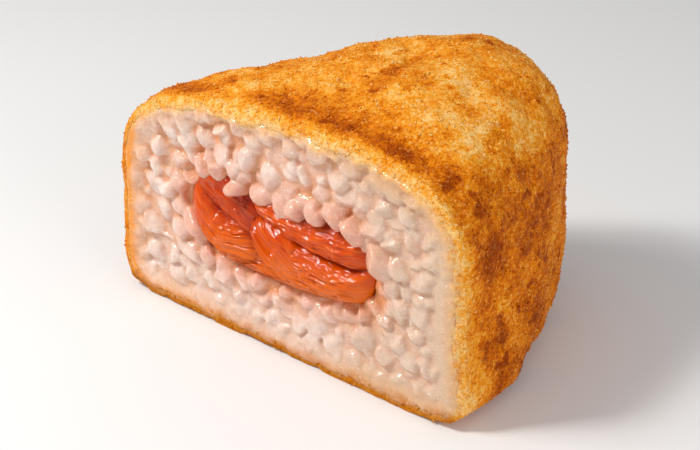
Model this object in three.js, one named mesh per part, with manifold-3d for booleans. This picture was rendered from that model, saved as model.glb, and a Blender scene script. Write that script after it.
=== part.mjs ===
// Half of a crusted onigiri: a triangular ball of pressed rice with a browned crust, cut from its apex to
// the middle of its base, with a folded piece of cooked salmon inside. Millimetres, +Z up. The half lies on
// one broad face. Its cut faces -Y, with the apex at -X and the base wall at +X, and the origin is in the
// middle of the underside.
import * as THREE from "three";
import { mergeVertices } from "three/addons/utils/BufferGeometryUtils.js";
import Module from "manifold-3d";

const wasm = await Module();
wasm.setup();

const { clamp, degToRad, lerp, smoothstep } = THREE.MathUtils;

// ---- Driving sizes, in millimetres. The shapes are drawn round the plan's centre, on the widest line. ----

// The outline seen from above: straight walls at their reach from the plan's centre, with rounded corners.
const baseReach = 28.2;
const sideReach = 26.6;
const sideBearing = degToRad(135);
const bevelReach = 41.6; // the corner beyond the cut is blunter than a triangle's
const bevelBearing = degToRad(54.7);
const cornerSharpness = 4.75;
const cutToCentre = 2.7; // the cut passes this far in front of the plan's centre
const cutHollow = 0.9; // how far the cut's grainy middle lies behind its rim
const hollowRim = [0.6, 0.9]; // the shares of the way out to the crust between which the cut comes level

// The upright profile: a domed crown over a flatter belly.
const crownHeight = 27.2;
const crownSharpness = 3.8;
const crownRiseBack = 0.0075; // share of the height gained per millimetre away from the cut
const crownRiseBase = 0.0014; // and per millimetre towards the base wall
const bellyDepth = 9.1;
const bellySharpness = 6.3;
const bellyTuck = 0.0022; // share that the belly's foot draws in per millimetre away from the cut
const footTrim = 0.4; // what the flat spot that it rests on takes off the belly
const footLevel = footTrim - bellyDepth;
const footBlend = 3; // the crust's relief fades out over this height above the foot

// The crust's relief: slow waves make the hand-pressed lumps, quicker ones its crags.
const waveCount = 13;
const longestWave = 24;
const waveRatio = 0.86;
const waveSteepness = 0.0068;
const pressedMarks = [
  { at: [27, 12.5, -6.6], width: 6.5, height: 1.2 }, // the toe of the base wall bulges out
  { at: [24, 29.5, -3.6], width: 7.5, height: -0.8 }, // the far corner is pinched in
];

// The filling's outline at the cut, as [x, z] points from its left end over its upper side and back.
const fillingOutline = [
  [-18.8, 8.6], [-17.6, 13.4], [-13.6, 16], [-9, 14.6], [-4, 15], [3, 15.2], [9.4, 16.2], [12.9, 12.4],
  [13.3, 8], [11.6, 4.2], [6, 2.8], [-1, 1.9], [-8, 1.9], [-13, 2.2], [-17, 4.3],
];
const fillingCentre = { x: -2.9, z: 8.6 };
const fillingFront = 1.4; // how far behind the cut the hollows between the folds lie
const fillingLength = 18;
const fillingTaper = 2.6; // a higher value keeps the filling's width further back
const fillingGap = 0.4;
const foldEnd = 8; // a higher value keeps the folds' height nearer to the filling's rim
// Each fold is a rounded ridge along a line from [x, z] to [x, z], standing out of the front.
const folds = [
  { from: [-15.6, 5.6], to: [-9.6, 5.2], width: 4.4, height: 2.5 },
  { from: [-15.6, 12], to: [-9.5, 11.5], width: 4.2, height: 1.5 },
  { from: [-3.6, 6.2], to: [10, 5.4], width: 4, height: 2.7 },
  { from: [-4.4, 11], to: [10.6, 9.2], width: 3, height: 2.2 },
  { from: [-1, 13.8], to: [9.6, 13], width: 2.8, height: 1.7 },
];

// The rice grains that show at the cut.
const grainLength = 7.2;
const grainThickness = 3.6;
const grainBluntness = 0.6;
const grainPitch = 3.2;
const grainJitter = 0.55;
const grainStandsOut = [0.2, 1.3]; // the least and the most that a grain stands out of the cut
const pastyRim = { apex: 3, base: 4.8, crown: 3.4, belly: 4.2 }; // pressed smooth, without single grains
const grainClearOfFilling = 1.5;
const grainRows = 4;
const grainColumns = 6;
const grainSeed = 21;

// Mesh fineness.
const ballColumns = 100;
const ballRows = 42;
const cutCells = 38;
const fillingColumns = 56;
const fillingFrontRows = 11;
const fillingBackRows = 9;

// ---- Making solids ----

// A closed surface of rows of points from pole to pole. pointAt(row, column) takes shares from 0 to 1.
function closedGrid(rows, columns, pointAt) {
  const positions = [...pointAt(0, 0)];
  for (let row = 1; row < rows; row++)
    for (let column = 0; column < columns; column++)
      positions.push(...pointAt(row / rows, column / columns));
  positions.push(...pointAt(1, 0));
  const lastPole = positions.length / 3 - 1;
  const index = [];
  for (let column = 0; column < columns; column++) {
    const next = (column + 1) % columns;
    index.push(0, 1 + next, 1 + column);
    for (let row = 0; row < rows - 2; row++) {
      const [a, b] = [1 + row * columns + column, 1 + row * columns + next];
      index.push(a, b, a + columns, b, b + columns, a + columns);
    }
    const lastRow = 1 + (rows - 2) * columns;
    index.push(lastPole, lastRow + column, lastRow + next);
  }
  const geometry = new THREE.BufferGeometry();
  geometry.setAttribute("position", new THREE.Float32BufferAttribute(positions, 3));
  geometry.setIndex(index);
  return geometry;
}

function solidFrom(geometry) {
  const bare = geometry.clone();
  bare.deleteAttribute("normal");
  bare.deleteAttribute("uv");
  const merged = mergeVertices(bare, 1e-4);
  return new wasm.Manifold(
    new wasm.Mesh({
      numProp: 3,
      vertProperties: merged.attributes.position.array,
      triVerts: new Uint32Array(merged.index.array),
    }),
  );
}

function geometryFrom(solid) {
  const { vertProperties, triVerts } = solid.getMesh();
  const geometry = new THREE.BufferGeometry();
  geometry.setAttribute("position", new THREE.BufferAttribute(vertProperties, 3));
  geometry.setIndex(new THREE.BufferAttribute(triVerts, 1));
  geometry.computeVertexNormals();
  return geometry;
}

// Seeded random numbers from 0 to 1.
function randomNumbers(seed) {
  let state = seed;
  return () => {
    state = (state + 0x6d2b79f5) | 0;
    let mixed = Math.imul(state ^ (state >>> 15), 1 | state);
    mixed = (mixed + Math.imul(mixed ^ (mixed >>> 7), 61 | mixed)) ^ mixed;
    return ((mixed ^ (mixed >>> 14)) >>> 0) / 4294967296;
  };
}

// ---- The ball ----

const walls = [
  { bearing: 0, reach: baseReach },
  { bearing: sideBearing, reach: sideReach },
  { bearing: -sideBearing, reach: sideReach },
  { bearing: bevelBearing, reach: bevelReach },
];

// How far out a point lies from the plan's centre, as a share: 1 on the outline.
function planShare(x, y) {
  const sum = walls.reduce((total, { bearing, reach }) => {
    const outward = (x * Math.cos(bearing) + y * Math.sin(bearing)) / reach;
    return total + Math.max(0, outward) ** cornerSharpness;
  }, 0);
  return sum ** (1 / cornerSharpness);
}

const crownScale = (x, y) => 1 + crownRiseBase * x + crownRiseBack * y;

// The smooth ball: row runs from the belly's middle (0) over the widest line to the crown's middle (1).
function smoothBall(row, column) {
  const tilt = (row - 0.5) * Math.PI;
  const turn = column * 2 * Math.PI;
  const above = tilt >= 0;
  const sharpness = above ? crownSharpness : bellySharpness;
  const breadth = Math.abs(Math.cos(tilt)) ** (2 / sharpness);
  const rise = Math.abs(Math.sin(tilt)) ** (2 / sharpness);
  const reach = breadth / planShare(Math.cos(turn), Math.sin(turn));
  const [x, y] = [reach * Math.cos(turn), reach * Math.sin(turn)];
  const tuck = above ? 1 : 1 - bellyTuck * rise ** 2 * Math.max(0, y);
  const z = above ? rise * crownHeight * crownScale(x, y) : -rise * bellyDepth;
  return [x * tuck, y * tuck + cutToCentre, z];
}

const goldenAngle = Math.PI * (3 - Math.sqrt(5));

function relief(point) {
  let height = 0;
  for (let i = 0; i < waveCount; i++) {
    const wavelength = longestWave * waveRatio ** i;
    const upward = 1 - (2 * i + 1) / waveCount;
    const level = Math.sqrt(1 - upward ** 2);
    const direction = new THREE.Vector3(
      level * Math.cos(goldenAngle * i),
      level * Math.sin(goldenAngle * i),
      upward,
    );
    const phase = (point.dot(direction) / wavelength) * 2 * Math.PI + i ** 2;
    height += waveSteepness * wavelength * Math.sin(phase);
  }
  for (const { at, width, height: most } of pressedMarks) {
    const away = point.distanceTo(new THREE.Vector3(...at)) / width;
    height += most * Math.exp(-(away ** 2));
  }
  return height * smoothstep(point.z, footLevel, footLevel + footBlend);
}

function ballSolid() {
  const geometry = closedGrid(ballRows, ballColumns, smoothBall);
  geometry.computeVertexNormals();
  const { position, normal } = geometry.attributes;
  const [point, outward] = [new THREE.Vector3(), new THREE.Vector3()];
  for (let i = 0; i < position.count; i++) {
    point.fromBufferAttribute(position, i);
    outward.fromBufferAttribute(normal, i);
    point.addScaledVector(outward, relief(point));
    position.setXYZ(i, point.x, point.y, Math.max(point.z, footLevel));
  }
  return solidFrom(geometry);
}

// How far out a point of the cut lies: 0 in the middle, 1 on the crust.
function cutShare(x, z) {
  const above = z > 0;
  const rise = above ? z / (crownHeight * crownScale(x, -cutToCentre)) : -z / bellyDepth;
  const sharpness = above ? crownSharpness : bellySharpness;
  return (planShare(x, -cutToCentre) ** sharpness + rise ** sharpness) ** (1 / sharpness);
}

// Everything in front of the cut, which is a little hollow where the grains are.
function cutAwaySolid() {
  const size = 4 * baseReach;
  const box = new THREE.BoxGeometry(size, size, size, cutCells, 1, cutCells);
  box.translate(0, -size / 2, 0);
  const { position } = box.attributes;
  for (let i = 0; i < position.count; i++) {
    const share = cutShare(position.getX(i), position.getZ(i));
    if (position.getY(i) > -1) position.setY(i, cutHollow * (1 - smoothstep(share, ...hollowRim)));
  }
  return solidFrom(box);
}

// ---- The filling ----

const outlineCurve = new THREE.CatmullRomCurve3(
  fillingOutline.map(([x, z]) => new THREE.Vector3(x, 0, z)),
  true,
);

function foldsAt(x, z) {
  let highest = 0;
  for (const { from, to, width, height } of folds) {
    const [alongX, alongZ] = [to[0] - from[0], to[1] - from[1]];
    const along = ((x - from[0]) * alongX + (z - from[1]) * alongZ) / (alongX ** 2 + alongZ ** 2);
    const share = clamp(along, 0, 1);
    const away = Math.hypot(x - from[0] - share * alongX, z - from[1] - share * alongZ) / width;
    if (away < 1) highest = Math.max(highest, height * Math.sqrt(1 - away ** 2));
  }
  return highest;
}

// The filling, or with a gap and a straight front the pocket that it sits in.
function fillingSolid(gap, straightFront) {
  const rows = fillingFrontRows + fillingBackRows;
  const frontShare = fillingFrontRows / rows;
  return solidFrom(
    closedGrid(rows, fillingColumns, (row, column) => {
      const rim = outlineCurve.getPoint(column);
      const [outX, outZ] = [rim.x - fillingCentre.x, rim.z - fillingCentre.z];
      const reach = Math.hypot(outX, outZ);
      const widened = (reach + gap) / reach;
      const place = (scale) => [
        fillingCentre.x + outX * widened * scale,
        fillingCentre.z + outZ * widened * scale,
      ];
      if (row <= frontShare) {
        const outward = row / frontShare;
        const [x, z] = place(outward);
        const y = straightFront ?? fillingFront - foldsAt(x, z) * (1 - outward ** foldEnd);
        return [x, y, z];
      }
      const back = (row - frontShare) / (1 - frontShare);
      const scale = (1 - back ** fillingTaper) ** (1 / fillingTaper);
      const [x, z] = place(scale);
      return [x, fillingFront + (fillingLength + gap - fillingFront) * back, z];
    }),
  );
}

// ---- The grains ----

// True where the cut shows single grains: what is pushed outwards by the pasty rim's width is still rice.
function inGrainyPart(x, z) {
  const pushedX = x + (x < fillingCentre.x ? -pastyRim.apex : pastyRim.base);
  const pushedZ = z + (z > fillingCentre.z ? pastyRim.crown : -pastyRim.belly);
  return cutShare(pushedX, pushedZ) < 1;
}

const rimPoints = outlineCurve.getPoints(160);

function clearOfFilling(x, z) {
  const nearest = Math.min(...rimPoints.map((rim) => Math.hypot(rim.x - x, rim.z - z)));
  const inside = rimPoints.reduce((crossings, rim, i) => {
    const next = rimPoints[(i + 1) % rimPoints.length];
    if (rim.z > z === next.z > z) return crossings;
    return crossings + (x < rim.x + ((next.x - rim.x) * (z - rim.z)) / (next.z - rim.z) ? 1 : 0);
  }, 0);
  return inside % 2 === 0 && nearest > grainClearOfFilling;
}

// One grain at a point of the cut, lying any way, and standing out of the cut by standsOut.
function grainSolid(x, z, standsOut, random) {
  const upward = 2 * random() - 1;
  const turn = 2 * Math.PI * random();
  const level = Math.sqrt(1 - upward ** 2);
  const lie = new THREE.Vector3(level * Math.cos(turn), level * Math.sin(turn), upward);
  const grain = closedGrid(grainRows, grainColumns, (row, column) => {
    const around = 2 * Math.PI * column;
    const radius = (grainThickness / 2) * Math.sin(Math.PI * row) ** grainBluntness;
    const along = -(grainLength / 2) * Math.cos(Math.PI * row);
    return [radius * Math.cos(around), radius * Math.sin(around), along];
  });
  grain.applyQuaternion(new THREE.Quaternion().setFromUnitVectors(new THREE.Vector3(0, 0, 1), lie));
  grain.computeBoundingBox();
  grain.translate(x, -standsOut - grain.boundingBox.min.y, z);
  return solidFrom(grain);
}

function grainSolids() {
  const random = randomNumbers(grainSeed);
  const grains = [];
  const rowPitch = grainPitch * Math.sqrt(0.75);
  for (let row = 0; row * rowPitch < crownHeight + bellyDepth; row++)
    for (let place = 0; place * grainPitch < 2.5 * baseReach; place++) {
      const x = -1.25 * baseReach + (place + (row % 2) / 2) * grainPitch + grainJitter * (2 * random() - 1);
      const z = footLevel + row * rowPitch + grainJitter * (2 * random() - 1);
      if (!inGrainyPart(x, z) || !clearOfFilling(x, z)) continue;
      const standsOut = lerp(...grainStandsOut, random());
      grains.push(grainSolid(x, z, standsOut, random));
    }
  return grains;
}

// ---- The pieces ----

function riceBallSolid() {
  const core = ballSolid().subtract(cutAwaySolid());
  const grainy = grainSolids().reduce((joined, grain) => joined.add(grain), core);
  const pocketFront = -2 * grainStandsOut[1];
  const bodies = grainy.subtract(fillingSolid(fillingGap, pocketFront)).decompose();
  return bodies.reduce((largest, body) => (body.volume() > largest.volume() ? body : largest));
}

const crustMaterial = new THREE.MeshStandardMaterial({ color: 0xd9932f, roughness: 0.75, metalness: 0 });
const salmonMaterial = new THREE.MeshStandardMaterial({ color: 0xe0591a, roughness: 0.35, metalness: 0 });

const riceBall = new THREE.Mesh(geometryFrom(riceBallSolid()), crustMaterial);
riceBall.name = "rice_ball";

const salmonFilling = new THREE.Mesh(geometryFrom(fillingSolid(0)), salmonMaterial);
salmonFilling.name = "salmon_filling";

// The plan's centre, seen from the middle of the underside.
const onigiri = new THREE.Group();
onigiri.position.set(1.9, -20.5, -footLevel);
onigiri.add(riceBall, salmonFilling);

export default onigiri;
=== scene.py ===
"""The looks of half an onigiri: browned crumb crust, rice grains at the cut, folded salmon inside.

Shapes are worked out in millimetres round the ball's plan centre, as in the solids, and become metres in the
row frame when a mesh is made. The cut is the plane y = 0, with its rice on the +y side.
"""

import math

import bpy
import numpy as np
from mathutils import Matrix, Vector


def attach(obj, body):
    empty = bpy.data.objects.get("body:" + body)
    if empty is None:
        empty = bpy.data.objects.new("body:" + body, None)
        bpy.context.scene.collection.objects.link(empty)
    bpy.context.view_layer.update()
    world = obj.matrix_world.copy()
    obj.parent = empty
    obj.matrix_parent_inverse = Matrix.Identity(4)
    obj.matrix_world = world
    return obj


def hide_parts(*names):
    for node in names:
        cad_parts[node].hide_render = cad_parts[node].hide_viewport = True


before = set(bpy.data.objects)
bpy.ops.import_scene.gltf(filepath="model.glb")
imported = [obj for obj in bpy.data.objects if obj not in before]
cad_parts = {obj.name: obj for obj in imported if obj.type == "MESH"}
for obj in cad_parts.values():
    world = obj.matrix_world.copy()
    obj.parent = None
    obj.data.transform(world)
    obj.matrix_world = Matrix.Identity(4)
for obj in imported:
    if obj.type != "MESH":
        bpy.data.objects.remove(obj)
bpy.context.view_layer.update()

scene = bpy.context.scene

MM = 0.001
PLAN_CENTRE = np.array([1.9, -20.5, 8.7])  # in the row frame

# ---- The ball's form, as the solids have it ----

WALLS = (  # (bearing in degrees, reach from the plan's centre): the base, two sides and a bevel
    (0, 28.2),
    (135, 26.6),
    (-135, 26.6),
    (54.7, 41.6),
)
CORNER_SHARPNESS = 4.75
CUT_TO_CENTRE = 2.7
CROWN_HEIGHT = 27.2
CROWN_SHARPNESS = 3.8
CROWN_RISE_BACK = 0.0075
CROWN_RISE_BASE = 0.0014
BELLY_DEPTH = 9.1
BELLY_SHARPNESS = 6.3
BELLY_TUCK = 0.0022
FOOT_LEVEL = 0.4 - BELLY_DEPTH
FOOT_BLEND = 3.0
WAVE_COUNT = 13
LONGEST_WAVE = 24.0
WAVE_RATIO = 0.86
WAVE_STEEPNESS = 0.0068
PRESSED_MARKS = (  # (place, width, height)
    ((27, 12.5, -6.6), 6.5, 1.2),
    ((24, 29.5, -3.6), 7.5, -0.8),
)

# The filling's outline at the cut, as (x, z) points from its left end over its upper side and back.
FILLING_OUTLINE = np.array([
    (-18.8, 8.6), (-17.6, 13.4), (-13.6, 16), (-9, 14.6), (-4, 15), (3, 15.2), (9.4, 16.2), (12.9, 12.4),
    (13.3, 8), (11.6, 4.2), (6, 2.8), (-1, 1.9), (-8, 1.9), (-13, 2.2), (-17, 4.3),
])
FILLING_CENTRE = np.array([-2.9, 8.6])
FILLING_LENGTH = 18.0
FILLING_TAPER = 2.6
FILLING_FRONT = 1.5
FILLING_GAP = 0.3

# ---- Small numeric tools ----


def ease(x, low, high):
    """0 up to low, 1 from high on, and a smooth rise between them."""
    share = np.clip((x - low) / (high - low), 0, 1)
    return share * share * (3 - 2 * share)


def unit(vectors):
    return vectors / np.maximum(np.linalg.norm(vectors, axis=-1, keepdims=True), 1e-12)


def random_at(cells, seed):
    """A fixed random number from 0 to 1 for each whole-number cell."""
    c = cells.astype(np.int64).astype(np.uint32)
    mixed = c[..., 0] * np.uint32(374761393) + c[..., 1] * np.uint32(668265263)
    mixed = mixed + c[..., 2] * np.uint32(2246822519) + np.uint32(seed * 97531 + 12345)
    mixed = (mixed ^ (mixed >> np.uint32(13))) * np.uint32(1274126177)
    return (mixed ^ (mixed >> np.uint32(16))).astype(float) / 2**32


def noise(points, size, seed, octaves=1):
    """Smooth random heights from -1 to 1, whose waves are about size millimetres long."""
    total, weight = np.zeros(len(points)), 0.0
    for octave in range(octaves):
        scaled = points / size * 2**octave + 31.7 * octave
        cell = np.floor(scaled)
        share = scaled - cell
        share = share * share * (3 - 2 * share)
        value = np.zeros(len(points))
        for corner in np.ndindex(2, 2, 2):
            nearness = np.prod(np.where(corner, share, 1 - share), axis=1)
            value += nearness * random_at(cell + np.array(corner), seed + octave)
        total += (2 * value - 1) / 2**octave
        weight += 1 / 2**octave
    return total / weight


def pebbles(points, size, seed):
    """Domes from 0 to 1 that touch each other, one for each cell of about size millimetres."""
    scaled = points / size
    cell = np.floor(scaled)
    nearest = np.full(len(points), 9.0)
    for step in np.ndindex(3, 3, 3):
        other = cell + np.array(step) - 1
        centre = other + np.stack([random_at(other, seed + k) for k in range(3)], axis=1)
        nearest = np.minimum(nearest, np.sum((centre - scaled) ** 2, axis=1))
    return np.sqrt(np.clip(1 - nearest / 0.75, 0, 1))


# ---- Making meshes ----


def grid_faces(rows, columns):
    """Faces of a closed surface whose points are a pole, rows - 1 rings of columns points, and a pole."""
    ring = np.arange(columns)
    after = (ring + 1) % columns
    faces = [(0, 1 + b, 1 + a) for a, b in zip(ring, after)]
    for row in range(rows - 2):
        low, high = 1 + row * columns, 1 + (row + 1) * columns
        faces += [(low + a, low + b, high + b, high + a) for a, b in zip(ring, after)]
    last = 1 + (rows - 2) * columns
    return faces + [(last + columns, last + a, last + b) for a, b in zip(ring, after)]


def grid_shares(rows, columns):
    """The row and column, as shares from 0 to 1, of each point that grid_faces joins."""
    row, column = np.meshgrid(np.arange(1, rows) / rows, np.arange(columns) / columns, indexing="ij")
    return np.r_[0, row.ravel(), 1], np.r_[0, column.ravel(), 0]


def round_form(rows, columns, bluntness=1):
    """Points, in the order that grid_faces joins, of a ball of radius 1 whose poles bluntness widens."""
    row, column = grid_shares(rows, columns)
    radius = np.sin(math.pi * row) ** bluntness
    around = 2 * math.pi * column
    return np.stack([radius * np.cos(around), radius * np.sin(around), -np.cos(math.pi * row)], axis=1)


def faces_of_many(count, rows, columns):
    """The faces of count closed grids, one grid's points after another's."""
    one = grid_faces(rows, columns)
    points = 2 + (rows - 1) * columns
    return [tuple(k + n * points for k in face) for n in range(count) for face in one]


def make_mesh(name, points, faces):
    mesh = bpy.data.meshes.new(name)
    mesh.from_pydata(((points + PLAN_CENTRE) * MM).tolist(), [], faces)
    return mesh


def make_piece(name, points, faces):
    """A smooth mesh object from points in millimetres round the plan's centre."""
    mesh = make_mesh(name, points, faces)
    mesh.polygons.foreach_set("use_smooth", np.ones(len(mesh.polygons), bool))
    mesh.update()
    piece = bpy.data.objects.new(name, mesh)
    scene.collection.objects.link(piece)
    return piece


def vectors_of(items, name):
    flat = np.zeros(len(items) * 3, np.float32)
    items.foreach_get(name, flat)
    return flat.reshape(-1, 3)


def points_of(piece):
    return vectors_of(piece.data.vertices, "co") / MM - PLAN_CENTRE


def normals_of(piece):
    return vectors_of(piece.data.vertex_normals, "vector").astype(float)


def set_points(piece, points):
    piece.data.vertices.foreach_set("co", ((points + PLAN_CENTRE) * MM).astype(np.float32).ravel())
    piece.data.update()


def set_value(piece, name, values):
    """A number for each point, which the piece's material reads by that name."""
    attribute = piece.data.attributes.new(name, "FLOAT", "POINT")
    attribute.data.foreach_set("value", np.asarray(values, np.float32))


def apply_modifiers(piece):
    evaluated = piece.evaluated_get(bpy.context.evaluated_depsgraph_get())
    mesh = bpy.data.meshes.new_from_object(evaluated)
    piece.modifiers.clear()
    old, piece.data = piece.data, mesh
    mesh.name = piece.name
    bpy.data.meshes.remove(old)


def smoothed(piece, values, weights, rounds):
    """values, an array with a row for each point, drawn towards their neighbours' mean by weights."""
    edges = np.zeros(len(piece.data.edges) * 2, np.int32)
    piece.data.edges.foreach_get("vertices", edges)
    one, two = edges.reshape(-1, 2).T
    count = np.bincount(one, minlength=len(values)) + np.bincount(two, minlength=len(values))
    for _ in range(rounds):
        mean = np.empty_like(values)
        for k in range(values.shape[1]):
            from_two = np.bincount(one, values[two, k], len(values))
            from_one = np.bincount(two, values[one, k], len(values))
            mean[:, k] = from_two + from_one
        mean /= np.maximum(count, 1)[:, None]
        values = values + (mean - values) * weights[:, None]
    return values


# ---- The ball ----


def plan_share(x, y):
    total = 0
    for bearing, reach in WALLS:
        outward = (x * math.cos(math.radians(bearing)) + y * math.sin(math.radians(bearing))) / reach
        total = total + np.maximum(0, outward) ** CORNER_SHARPNESS
    return total ** (1 / CORNER_SHARPNESS)


def crown_scale(x, y):
    return 1 + CROWN_RISE_BASE * x + CROWN_RISE_BACK * y


def smooth_ball(row, column):
    tilt, turn = (row - 0.5) * math.pi, column * 2 * math.pi
    above = tilt >= 0
    sharpness = np.where(above, CROWN_SHARPNESS, BELLY_SHARPNESS)
    breadth = np.abs(np.cos(tilt)) ** (2 / sharpness)
    rise = np.abs(np.sin(tilt)) ** (2 / sharpness)
    reach = breadth / plan_share(np.cos(turn), np.sin(turn))
    x, y = reach * np.cos(turn), reach * np.sin(turn)
    tuck = np.where(above, 1, 1 - BELLY_TUCK * rise**2 * np.maximum(0, y))
    z = np.where(above, rise * CROWN_HEIGHT * crown_scale(x, y), -rise * BELLY_DEPTH)
    return np.stack([x * tuck, y * tuck + CUT_TO_CENTRE, z], axis=1)


def lumps(points):
    """How far the hand-pressed ball stands out of the smooth one."""
    height = np.zeros(len(points))
    golden_angle = math.pi * (3 - math.sqrt(5))
    for i in range(WAVE_COUNT):
        wavelength = LONGEST_WAVE * WAVE_RATIO**i
        upward = 1 - (2 * i + 1) / WAVE_COUNT
        level = math.sqrt(1 - upward**2)
        direction = np.array([level * math.cos(golden_angle * i), level * math.sin(golden_angle * i), upward])
        height += WAVE_STEEPNESS * wavelength * np.sin(points @ direction / wavelength * 2 * math.pi + i**2)
    for place, width, most in PRESSED_MARKS:
        height += most * np.exp(-np.sum((points - np.array(place)) ** 2, axis=1) / width**2)
    return height * ease(points[:, 2], FOOT_LEVEL, FOOT_LEVEL + FOOT_BLEND)


def cut_share(x, z):
    """How far out a point of the cut lies: 0 in the middle, 1 on the crust."""
    above = z > 0
    rise = np.where(above, z / (CROWN_HEIGHT * crown_scale(x, -CUT_TO_CENTRE)), -z / BELLY_DEPTH)
    sharpness = np.where(above, CROWN_SHARPNESS, BELLY_SHARPNESS)
    return (plan_share(x, -CUT_TO_CENTRE) ** sharpness + np.abs(rise) ** sharpness) ** (1 / sharpness)


def outline_of(points, count):
    """A closed smooth curve through the points, sampled at count places (Catmull-Rom)."""
    place = np.arange(count) / count * len(points)
    i = np.floor(place).astype(int)
    t = (place - i)[:, None]
    before, here, after, last = (points[(i + k) % len(points)] for k in (-1, 0, 1, 2))
    return 0.5 * (
        2 * here
        + (after - before) * t
        + (2 * before - 5 * here + 4 * after - last) * t**2
        + (3 * here - before - 3 * after + last) * t**3
    )


SECTION_STEPS = 720
SECTION_MIDDLE = np.array([-1.5, 9.0])
SECTION_REACH = 60.0  # past the outline
POINTS_AT_ONCE = 4000


def outward_along(outline):
    """The direction out of a closed outline at each of its points."""
    tangent = np.roll(outline, -1, axis=0) - np.roll(outline, 1, axis=0)
    outward = unit(np.stack([tangent[:, 1], -tangent[:, 0]], axis=1))
    side = np.mean(np.sum(outward * (outline - outline.mean(axis=0)), axis=1))
    return outward * np.sign(side)


def section_outline():
    """The cut's outline as (x, z) points, found by walking out from the cut's middle."""
    turn = np.arange(SECTION_STEPS) / SECTION_STEPS * 2 * math.pi
    way = np.stack([np.cos(turn), np.sin(turn)], axis=1)
    near, far = np.zeros(SECTION_STEPS), np.full(SECTION_STEPS, SECTION_REACH)
    for _ in range(30):
        half = (near + far) / 2
        spot = SECTION_MIDDLE + way * half[:, None]
        inside = cut_share(spot[:, 0], spot[:, 1]) < 1
        near, far = np.where(inside, half, near), np.where(inside, far, half)
    outline = SECTION_MIDDLE + way * near[:, None]
    outline = outline + outward_along(outline) * lumps(np.insert(outline, 1, 0, axis=1))[:, None]
    outline[:, 1] = np.maximum(outline[:, 1], FOOT_LEVEL)
    return outline


def nearest_of(points, places):
    """For each point, which of the places is nearest to it."""
    nearest = np.empty(len(points), int)
    for start in range(0, len(points), POINTS_AT_ONCE):
        part = points[start:start + POINTS_AT_ONCE]
        apart = np.sum((part[:, None] - places[None]) ** 2, axis=2)
        nearest[start:start + POINTS_AT_ONCE] = apart.argmin(axis=1)
    return nearest


def depth_in(spots, outline):
    """How far each (x, z) spot lies inside a closed outline (outside it, less than 0), the outline's nearest
    point, and the direction out of the outline there."""
    nearest = nearest_of(spots, outline)
    outward = outward_along(outline)
    gap = spots - outline[nearest]
    inward = -np.sign(np.sum(gap * outward[nearest], axis=1))
    return np.linalg.norm(gap, axis=1) * inward, outline[nearest], outward[nearest]


SECTION = section_outline()
FILLING_EDGE = outline_of(FILLING_OUTLINE, 360)

# ---- Rice grains ----

GRAIN_LENGTH = (5.0, 7.2)
GRAIN_THICKNESS = (3.9, 4.7)
GRAIN_FLATNESS = (0.86, 1)
GRAIN_BLUNTNESS = 0.7
GRAIN_FACETS = 9
FACET_LEVEL = (0.58, 0.9)  # how far out a facet lies, as a share of the grain's radius
FACET_PRESS = 0.85  # 1 would cut it flat
GRAIN_BEND = 0.35
BROKEN_SHARE, BROKEN_LENGTH = 0.25, 0.7
GRAIN_COVER = 1.1  # how deep inside the crust grains stay
GRAIN_ROWS, GRAIN_COLUMNS = 14, 18
GRAIN_MIDDLE = 1.5  # behind its foremost point, roughly
GRAIN_LEAN = np.array([0.4, 1.4, 0.4])


def random_turns(random, count):
    """Random rotation matrices."""
    q = unit(random.normal(size=(count, 4)))
    w, x, y, z = q.T
    rows = (
        (1 - 2 * (y * y + z * z), 2 * (x * y - z * w), 2 * (x * z + y * w)),
        (2 * (x * y + z * w), 1 - 2 * (x * x + z * z), 2 * (y * z - x * w)),
        (2 * (x * z - y * w), 2 * (y * z + x * w), 1 - 2 * (x * x + y * y)),
    )
    return np.stack([np.stack(row, axis=1) for row in rows], axis=1)


def grain_turns(random, count):
    """Rotations that lay a grain in any direction, but more often into the cut than along it."""
    length = unit(random.normal(size=(count, 3)) * GRAIN_LEAN)
    side = unit(np.cross(length, random.normal(size=(count, 3))))
    return np.stack([side, np.cross(length, side), length], axis=2)


def grain_shapes(random, count, rows, columns):
    """Grains round the origin, each a blunt spindle with a bend and a few pressed facets."""
    shapes = np.repeat(round_form(rows, columns, GRAIN_BLUNTNESS)[None], count, axis=0)
    for _ in range(GRAIN_FACETS):
        facing = unit(random.normal(size=(count, 1, 3)))
        level = random.uniform(*FACET_LEVEL, (count, 1))
        over = np.sum(shapes * facing, axis=2) - level
        shapes -= facing * (FACET_PRESS * np.maximum(0, over))[..., None]
    length = random.uniform(*GRAIN_LENGTH, (count, 1))
    broken = random.random((count, 1)) < BROKEN_SHARE
    length = np.where(broken, length * BROKEN_LENGTH, length)
    thickness = random.uniform(*GRAIN_THICKNESS, (count, 1))
    bend = random.uniform(-GRAIN_BEND, GRAIN_BEND, (count, 1))
    x = shapes[..., 0] * thickness / 2 + bend * shapes[..., 2] ** 2
    y = shapes[..., 1] * thickness / 2 * random.uniform(*GRAIN_FLATNESS, (count, 1))
    z = shapes[..., 2] * length / 2
    return np.stack([x, y, z], axis=2)


def scattered_spots(random, allowed, spacing, tries=16000):
    """(x, z) spots on the cut, at least spacing apart, where allowed says so."""
    low, high = SECTION.min(axis=0), SECTION.max(axis=0)
    tried = random.uniform(low, high, (tries, 2))
    kept = np.empty((0, 2))
    for spot in tried[allowed(tried)]:
        if len(kept) == 0 or np.min(np.sum((kept - spot) ** 2, axis=1)) > spacing**2:
            kept = np.vstack([kept, spot])
    return kept


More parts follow.
